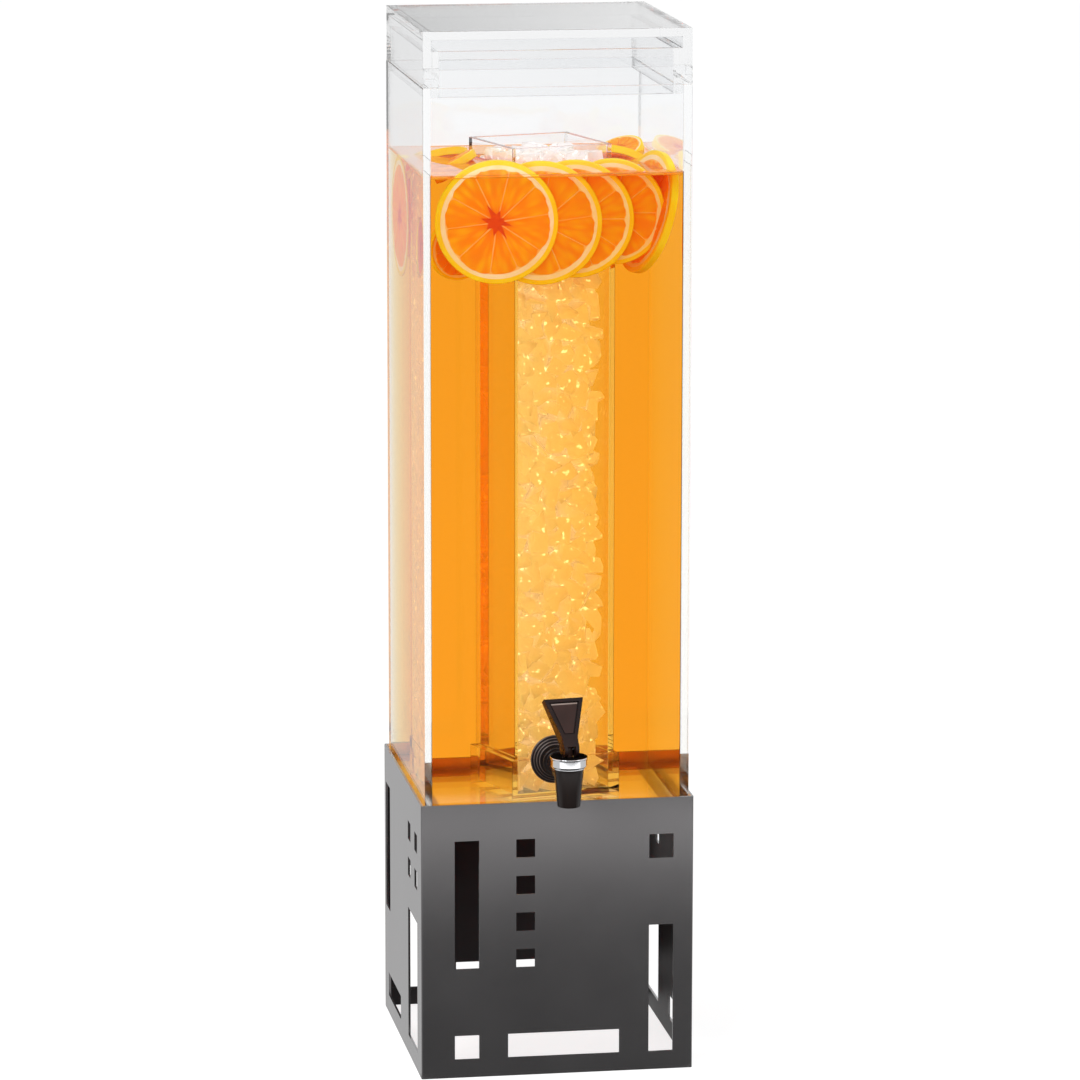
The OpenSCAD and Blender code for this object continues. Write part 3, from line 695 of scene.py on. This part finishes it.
def makeBonnet():
    b = bonnet
    profile = rounded([(b["neckR"], b["low"]), (b["footR"], b["low"]), (b["footR"], b["low"] + b["bead"]),
                       (b["bandR"] - b["dip"], b["low"] + 2 * b["bead"]),
                       (b["bandR"] - b["dip"], b["top"] - b["bead"] - b["dip"]),
                       (b["bandR"], b["top"] - b["bead"]), (b["bandR"], b["top"]), (b["holeR"], b["top"]),
                       (b["holeR"], b["under"]), (b["neckR"], b["under"])], b["round"], 5)
    bm = turned(profile + profile[:1], b["steps"], (faucet["off"], faucet["spoutY"], 0), "Z")
    # painted dark reflection: the chrome ring's top face takes the flat black colour
    for f in bm.faces:
        if min(v.co.z for v in f.verts) > (b["top"] - 0.05) * mm:
            f.material_index = 1
    ring = newPiece("bonnet_ring", bm, "reservoir", skinMaterial("bonnet chrome", b["chrome"]),
                    skinMaterial("bonnet painted dark top", b["painted_dark_top"]))
    smooth(ring, 40)
    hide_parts("faucet_bonnet")


def makeWasher():
    w = washer
    rise = (w["wallY"] - w["frontY"] - w["edge"]) / (w["count"] - 1)
    profile = [(w["boreR"], w["wallY"])]
    for i in range(w["count"]):
        low = w["wallY"] if i == 0 else w["wallY"] - w["edge"] - (i - 1) * rise
        r = w["outR"] - i * w["stepR"]
        profile += [(r, low), (r, w["wallY"] - w["edge"] - i * rise)]
    profile = rounded(profile + [(w["boreR"], w["frontY"])], w["round"], 3)
    bm = turned(profile + profile[:1], w["steps"], (faucet["off"], 0, faucet["axisZ"]), "Y")
    # painted highlight: the rib crests get a lighter rubber colour where they would catch the light
    crests = [(w["outR"] - i * w["stepR"], w["wallY"] - w["edge"] - i * rise) for i in range(w["count"])]
    for f in bm.faces:
        c = f.calc_center_median() / mm
        r = math.hypot(c.x - faucet["off"], c.z - faucet["axisZ"])
        if any(abs(r - a) < w["round"] and abs(c.y - b) < w["round"] for a, b in crests):
            f.material_index = 1
    seal = newPiece("stepped_washer", bm, "reservoir", skinMaterial("washer rubber", w["rubber"]),
                    skinMaterial("washer rubber painted rib highlight", w["painted_rib_highlight"]))
    smooth(seal, 50)
    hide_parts("outer_washer")


def makeHandle():
    h = handle
    bm = bmesh.new()
    outline = [(-h["neck"], h["foot"]), (h["neck"], h["foot"]), (h["neck"], 0), (h["neck"], h["neckTop"]),
               (h["top"], h["high"]), (-h["top"], h["high"]), (-h["neck"], h["neckTop"]), (-h["neck"], 0)]
    face = bm.faces.new([bm.verts.new((x * mm, h["front"] * mm, v * mm)) for x, v in outline])
    out = bmesh.ops.extrude_face_region(bm, geom=[face])["geom"]
    for v in out:
        if isinstance(v, bmesh.types.BMVert):
            up = v.co.z / mm
            back = h["hubBack"] + (h["topBack"] - h["hubBack"]) * up / h["high"]
            v.co.y = (back if up > -0.1 else h["footBack"]) * mm
    # the front splits at the neck, and its upper part gets a rim, a groove and a raised panel
    front = [f for f in bm.faces if all(abs(v.co.y / mm - h["front"]) < 0.01 for v in f.verts)]
    splitAt(bm, front + [e for f in front for e in f.edges], (0, 0, h["neckTop"] * mm), (0, 0, 1))
    panel = max((f for f in bm.faces if all(abs(v.co.y / mm - h["front"]) < 0.01 for v in f.verts)),
                key=lambda f: f.calc_center_median().z)
    for wide, push in ((h["rim"], h["grooveDeep"]), (h["groove"], -h["panelUp"])):
        bmesh.ops.inset_region(bm, faces=[panel], thickness=wide * mm, use_even_offset=True)
        moved = bmesh.ops.extrude_discrete_faces(bm, faces=[panel])["faces"]
        panel = moved[0]
        bmesh.ops.translate(bm, vec=(0, push * mm, 0), verts=panel.verts)
    # painted highlight: a lighter strip along the panel's top edge, below the groove
    shineLow = h["high"] - h["rim"] - h["groove"] - h["shine"]
    splitAt(bm, [panel] + panel.edges[:], (0, 0, shineLow * mm), (0, 0, 1))
    bmesh.ops.recalc_face_normals(bm, faces=bm.faces)
    leaning = Matrix.Rotation(-math.radians(h["lean"]), 4, "X")
    bmesh.ops.transform(bm, matrix=leaning, verts=bm.verts)

    def bar(r, y, half):
        # lying round bar across the handle
        across = rod(r, -half, half, h["steps"], (0, 0, 0), "Z")
        lie = Matrix.Translation((0, y * mm, 0)) @ Matrix.Rotation(math.pi / 2, 4, "Y")
        bmesh.ops.transform(across, matrix=lie, verts=across.verts)
        return across

    bm = combined(bm, bar(h["camR"], h["camFront"], h["cheek"] / 2), "UNION")
    bm = combined(bm, bar(h["hubR"], 0, h["cheek"] / 2), "UNION")
    slot = bmesh.new()
    bmesh.ops.create_cube(slot, size=2)
    bmesh.ops.scale(slot, vec=(h["forkHalf"] * mm, h["high"] * mm, h["high"] * mm), verts=slot.verts)
    bmesh.ops.translate(slot, vec=(0, 0, (h["forkTop"] - h["high"]) * mm), verts=slot.verts)
    bm = combined(bm, slot, "DIFFERENCE")
    bm = combined(bm, bar(h["pinR"], 0, 2 * h["top"]), "DIFFERENCE")
    panelY = h["front"] + h["grooveDeep"] - h["panelUp"]
    # the panel's faces: the painted highlight strip at its top, the panel colour below
    for f in bm.faces:
        c = leaning.inverted() @ f.calc_center_median() / mm
        if abs(c.y - panelY) < 0.02:
            f.material_index = 2 if c.z > shineLow else 1
    place = (Matrix.Translation(Vector((faucet["off"], faucet["spoutY"], h["pinZ"])) * mm)
             @ Matrix.Rotation(math.radians(h["turn"]), 4, "Z"))
    bmesh.ops.transform(bm, matrix=place, verts=bm.verts)
    bmesh.ops.dissolve_limit(bm, angle_limit=0.005, verts=bm.verts, edges=bm.edges, delimit={"MATERIAL"})
    lever = newPiece("tap_lever", bm, "handle", skinMaterial("handle plastic", h["plastic"]),
                     skinMaterial("handle panel", h["panel"]), skinMaterial("handle line", h["line"]))
    softEdges(lever, h["edge"])
    smooth(lever, 40)
    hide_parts("faucet_handle")


def makeSpring():
    # coil between the stem's collar and the bonnet's ceiling, attached to the stem's body
    s = spring
    steps = s["turns"] * s["steps"]
    spot = Vector((faucet["off"], faucet["spoutY"], s["low"])) * mm
    bm = bmesh.new()
    start = Matrix.Translation(spot + Vector((s["radius"], 0, 0)) * mm) @ Matrix.Rotation(math.pi / 2, 4, "X")
    bmesh.ops.create_circle(bm, segments=s["round"], radius=s["wire"] * mm, matrix=start)
    bmesh.ops.spin(bm, geom=bm.verts[:] + bm.edges[:], cent=spot, axis=(0, 0, 1),
                   dvec=(0, 0, (s["high"] - s["low"]) * mm / steps), angle=2 * math.pi * s["turns"],
                   steps=steps, use_merge=False, use_duplicate=False)
    bmesh.ops.holes_fill(bm, edges=[e for e in bm.edges if e.is_boundary], sides=0)
    bmesh.ops.recalc_face_normals(bm, faces=bm.faces)
    coil = newPiece("return_spring", bm, "valve_stem", skinMaterial("spring steel", s["steel"]))
    smooth(coil)
    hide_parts("valve_spring")
    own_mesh(coil)


def makeInnards():
    # small pieces whose CAD shape is right, with their finishes
    for node, look in innards.items():
        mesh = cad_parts[node].data
        mesh.materials.clear()
        mesh.materials.append(skinMaterial(node.replace("_", " ") + " finish", look))


makeBody()
makeBonnet()
makeWasher()
makeHandle()
makeSpring()
makeInnards()
print("faucet made")


# drink: fills the reservoir round the tube, its skin a hair inside the acrylic so no air shows between,
# with broken pulp just under its surface

drink = {"climb": 1.2, "shore": 3.0, "overlap": 0.25,
         "look": {"grain": 45, "cloud": 9, "dark": (0.99, 0.985, 0.975, 1), "light": (1, 1, 0.995, 1),
                  "rough": 0.0, "ior": 1.34, "clear": 1.0, "mirror": 0.0,
                  "soak": (0.9965, 0.762, 0.0118, 1), "density": 25.5}}
pulp = {"low": 605.0, "top": 605.6, "gap": 0.5,
        "look": skin(700, 90, (250, 150, 24), (255, 196, 70), (0.6, 0.8), 0.3, 0.4,
                     specular=0, cover=(0.4, 0.85))}


def squareLoop(bm, half, z, inTube=False):
    verts = [bm.verts.new((x * half * mm, (middleY + y * half) * mm, z * mm))
             for x, y in ((-1, -1), (1, -1), (1, 1), (-1, 1))]
    if inTube:
        turnTube(bm, verts)
    return verts


def closeRing(bm, loops):
    # faces between each square loop and the next, and from the last back to the first
    for a, b in zip(loops, loops[1:] + loops[:1]):
        for i in range(4):
            j = (i + 1) % 4
            bm.faces.new((a[i], a[j], b[j], b[i]))
    bmesh.ops.recalc_face_normals(bm, faces=bm.faces)


def makePulp():
    outer, inner = reservoir["inside"] - pulp["gap"], tube["half"] + pulp["gap"]
    bm = bmesh.new()
    closeRing(bm, [squareLoop(bm, outer, pulp["low"]), squareLoop(bm, outer, pulp["top"]),
                   squareLoop(bm, inner, pulp["top"], True), squareLoop(bm, inner, pulp["low"], True)])
    newPiece("floating_pulp", bm, "reservoir", skinMaterial("floating pulp", pulp["look"]))


def makeDrink():
    d = drink
    outer, inner = reservoir["inside"] + d["overlap"], tube["half"] - d["overlap"]
    foot = tube["foot"] - d["overlap"]
    low, top, step = reservoir["floor"] - d["overlap"], drinkLevel, tube["footTop"] - d["overlap"]
    bm = bmesh.new()
    loops = [squareLoop(bm, outer, low), squareLoop(bm, outer, top + d["climb"]),
             squareLoop(bm, outer - d["shore"], top), squareLoop(bm, inner + d["shore"], top, True),
             squareLoop(bm, inner, top + d["climb"], True), squareLoop(bm, inner, step, True),
             squareLoop(bm, foot, step, True), squareLoop(bm, foot, low, True)]
    closeRing(bm, loops)
    newPiece("orange_drink", bm, "reservoir", clearMaterial("orange drink", d["look"]))
    print("drink made")


makeDrink()
makePulp()


# crushed ice in the tube: small rough crystals, heaped up to just under the rim

ice = {"pitch": 11, "jitter": 3.2, "reach": (7.0, 11.5), "points": 12, "low": 184.6, "top": 610,
       "left": -32.6, "right": 28.5, "deep": 32.6, "sideJitter": 3.5, "heap": 4,
       "look": {"grain": 260, "cloud": 60, "dark": (0.93, 0.9, 0.9, 1), "light": (0.97, 0.95, 0.95, 1),
                "rough": 0.15, "ior": 1.31, "clear": 0.1, "bump": 0.4, "depth": 1.2,
                # painted glow of the ice, and the grain span of its painted glints
                "glow": (0.1, 0.08, 0.065, 1), "painted_glint": (0.64, 0.7)}}


def makeIce():
    i = ice
    bm = bmesh.new()
    wide, deep = i["right"] - i["left"], 2 * i["deep"]
    columns, layers, rows = (round(span / i["pitch"]) for span in (wide, deep, i["top"] - i["low"]))
    for row in range(rows):
        for a in range(columns):
            for b in range(layers):
                centre = Vector((i["left"] + (a + 0.5) * wide / columns,
                                 -i["deep"] + (b + 0.5) * deep / layers,
                                 i["low"] + (row + 0.5) * i["pitch"]))
                centre += Vector([random.uniform(-1, 1) * i["jitter"] for k in range(3)])
                stretch = [random.uniform(*i["reach"]) for k in range(3)]
                right = i["right"] + random.uniform(-1, 1) * i["sideJitter"]
                verts = []
                for n in range(i["points"]):
                    ray = Vector([random.gauss(0, 1) for k in range(3)]).normalized()
                    spot = centre + Vector([ray[k] * stretch[k] for k in range(3)])
                    spot.x = max(i["left"], min(right, spot.x))
                    spot.y = max(-i["deep"], min(i["deep"], spot.y)) + middleY
                    spot.z = max(i["low"], min(i["top"] + i["heap"], spot.z))
                    verts.append(bm.verts.new(spot * mm))
                hull = bmesh.ops.convex_hull(bm, input=verts)
                spare = [v for v in hull["geom_interior"] if isinstance(v, bmesh.types.BMVert)]
                bmesh.ops.delete(bm, geom=spare, context="VERTS")
    turnTube(bm, bm.verts)
    bmesh.ops.recalc_face_normals(bm, faces=bm.faces)
    piece = newPiece("crushed_ice", bm, "ice_tube", clearMaterial("crushed ice", i["look"]))
    smooth(piece, 60)
    print("ice made:", len(piece.data.polygons), "faces")


makeIce()


# orange slices: rind, pith and raised segments, standing along the front wall and floating behind

slices = {"radius": 40.6, "thick": 5.2, "rind": 2.9, "pith": 3.1, "steps": 72, "round": 0.9,
          "segments": 10, "width": (0.82, 1.18), "reach": (-0.9, 0.7), "membrane": 0.34, "core": 3.2,
          "coreReach": (-1.2, 0.8), "bow": 1.6, "ragged": 0.45, "edgeSteps": 10, "sunk": 0.4, "proud": 0.3,
          "crown": (0.5, 0.25), "spikes": 8, "longSpike": (5.0, 14.0), "shortSpike": (3.0, 6.0),
          "starUp": 1.05,
          # middle, yaw, tip back, spin, size
          "stand": [(-39.6, -46.6, 576.0, 0, 0, 8, 1), (-9.8, -40.2, 574.0, -2, 1, 40, 1),
                    (14.2, -33.8, 575.5, -5, 1, 75, 0.95), (40.5, -26.5, 579.0, -14, 1, 110, 0.85),
                    (66.0, -9.0, 576.0, -76, 15, 20, 1), (-62.0, -12.0, 555.0, 20, 0, 150, 0.5),
                    (-80.0, 62.0, 566.0, 90, 0, 35, 1)],
          "float": [(-57, 76, 603.5, 20, 68, 0, 0.42), (-56, 38, 603.5, 75, 62, 30, 0.42),
                    (64, 80, 604.5, 130, 64, 60, 0.42), (60, 44, 604.5, -40, 60, 90, 0.4),
                    (15, 100, 567.0, 0, 4, 15, 1)]}
flesh = {"cells": 7, "pale": colour(255, 186, 14), "deep": colour(252, 146, 4), "deepFrom": 0.7,
         "heart": colour(246, 122, 8), "heartSpan": (0.06, 0.16),
         "rough": 0.35, "specular": 0.06, "bump": 0.4, "depth": 0.5}


def sliceMaterials():
    looks = {"rind": skin(900, 60, (255, 204, 8), (255, 228, 40), (0.3, 0.45), 0.3, 0.25, specular=0.06),
             "pith": skin(500, 90, (253, 222, 150), (255, 240, 196), (0.5, 0.65), 0.2, 0.2, specular=0.06),
             "membrane": skin(400, 80, (255, 184, 70), (255, 212, 120), (0.4, 0.5), 0.2, 0.2,
                              specular=0.06),
             "heart": skin(300, 420, (216, 62, 8), (236, 92, 16), (0.3, 0.4), 0.3, 0.3, specular=0.06)}
    made = [skinMaterial("orange " + part, look) for part, look in looks.items()]
    # flesh: long cells that point to the slice's middle
    m, nodes, link = newMaterial("orange flesh")
    shader = nodes["Principled BSDF"]
    uv = nodes.new("ShaderNodeUVMap")
    uv.uv_map = "slice"
    middle = nodes.new("ShaderNodeVectorMath")
    middle.operation = "SUBTRACT"
    middle.inputs[1].default_value = (0.5, 0.5, 0)
    axes, reach = nodes.new("ShaderNodeSeparateXYZ"), nodes.new("ShaderNodeVectorMath")
    reach.operation = "LENGTH"
    around, polar = mathNode(nodes, "ARCTAN2"), nodes.new("ShaderNodeCombineXYZ")
    cells, ramp = nodes.new("ShaderNodeTexVoronoi"), nodes.new("ShaderNodeValToRGB")
    cells.inputs["Scale"].default_value = flesh["cells"]
    ramp.color_ramp.elements[0].color = flesh["pale"]
    ramp.color_ramp.elements[1].color = flesh["deep"]
    ramp.color_ramp.elements[1].position = flesh["deepFrom"]
    heart, tint = nodes.new("ShaderNodeMapRange"), colourMix(nodes)
    setRange(heart, "From", flesh["heartSpan"])
    tint.inputs["A"].default_value = flesh["heart"]
    link(uv.outputs["UV"], middle.inputs[0])
    link(middle.outputs["Vector"], axes.inputs[0])
    link(middle.outputs["Vector"], reach.inputs[0])
    link(axes.outputs["Y"], around.inputs[0])
    link(axes.outputs["X"], around.inputs[1])
    link(around.outputs["Value"], polar.inputs["X"])
    link(reach.outputs["Value"], polar.inputs["Y"])
    link(polar.outputs["Vector"], cells.inputs["Vector"])
    link(cells.outputs["Distance"], ramp.inputs["Fac"])
    addBump(nodes, link, cells.outputs["Distance"], flesh)
    link(reach.outputs["Value"], heart.inputs["Value"])
    link(heart.outputs["Result"], tint.inputs["Factor"])
    link(ramp.outputs["Color"], tint.inputs["B"])
    link(tint.outputs["Result"], shader.inputs["Base Color"])
    shader.inputs["Roughness"].default_value = flesh["rough"]
    shader.inputs["Specular IOR Level"].default_value = flesh["specular"]
    return made + [m]


def raised(bm, points, up, low, rise, index):
    # flat form on one face of a slice, extruded from a little inside it; gives its outer face
    verts = [bm.verts.new((x * mm, y * mm, up * low * mm)) for x, y in points]
    f = bm.faces.new(verts if up > 0 else verts[::-1])
    f.material_index = index
    out = bmesh.ops.extrude_face_region(bm, geom=[f])["geom"]
    bmesh.ops.translate(bm, vec=(0, 0, up * rise * mm),
                        verts=[g for g in out if isinstance(g, bmesh.types.BMVert)])
    return [g for g in out if isinstance(g, bmesh.types.BMFace)]


def sliceMesh(s):
    # lying flat at the origin: a spun body, then ten raised segments on each face
    r, half = s["radius"], s["thick"] / 2
    inRind = r - s["rind"]
    inPith = inRind - s["pith"]
    profile = rounded([(0, -half), (inPith, -half), (inRind, -half), (r, -half),
                       (r, half), (inRind, half), (inPith, half), (0, half)], s["round"], 3)
    bm = turned(profile, s["steps"], (0, 0, 0), "Z")
    for f in bm.faces:
        f.smooth = True
        far = max(v.co.xy.length for v in f.verts) / mm
        f.material_index = 0 if far > inRind + 0.2 else 1 if far > inPith + 0.3 else 2
    start = 0.0
    widths = [random.uniform(*s["width"]) for n in range(s["segments"])]
    for w in widths:
        angle = 2 * math.pi * w / sum(widths)
        reach = inPith + random.uniform(*s["reach"])
        core = s["core"] + random.uniform(*s["coreReach"])
        for up in (1, -1):
            points = []
            for k in range(s["edgeSteps"] + 1):
                t = k / s["edgeSteps"]
                edge = reach - s["bow"] * (2 * t - 1) ** 6 + random.uniform(-1, 1) * s["ragged"]
                slim = s["membrane"] / edge
                a = start + slim + t * (angle - 2 * slim)
                points.append((math.cos(a) * edge, math.sin(a) * edge))
            for t in (0.75, 0.25):
                a = start + t * angle
                points.append((math.cos(a) * core, math.sin(a) * core))
            top = raised(bm, points, up, half - s["sunk"], s["sunk"] + s["proud"], 4)
            wide, deep = s["crown"]
            bmesh.ops.inset_region(bm, faces=top, thickness=wide * mm, depth=deep * mm)
        start += angle
    # torn star in the middle of each face
    for up in (1, -1):
        points = []
        for k in range(2 * s["spikes"]):
            a = math.pi * k / s["spikes"]
            far = random.uniform(*(s["longSpike"] if k % 2 else s["shortSpike"]))
            points.append((math.cos(a) * far, math.sin(a) * far))
        raised(bm, points, up, half - s["sunk"], s["starUp"], 3)
    layer = bm.loops.layers.uv.new("slice")
    for f in bm.faces:
        for corner in f.loops:
            corner[layer].uv = (corner.vert.co.x / (2 * r * mm) + 0.5, corner.vert.co.y / (2 * r * mm) + 0.5)
    return bm


def makeSlices():
    materials = sliceMaterials()
    for kind in ("stand", "float"):
        for n, (x, y, z, yaw, tip, spin, part) in enumerate(slices[kind]):
            bm = sliceMesh(slices)
            bmesh.ops.scale(bm, vec=(part, part, 1), verts=bm.verts)
            lean = 90 - tip if kind == "stand" else tip - 90
            place = (Matrix.Translation(Vector((x, y, z)) * mm)
                     @ Matrix.Rotation(math.radians(yaw), 4, "Z")
                     @ Matrix.Rotation(math.radians(lean), 4, "X")
                     @ Matrix.Rotation(math.radians(spin), 4, "Z"))
            bmesh.ops.transform(bm, matrix=place, verts=bm.verts)
            newPiece("orange_slice_%s_%d" % (kind, n + 1), bm, "reservoir", *materials)
    print("slices made")


makeSlices()
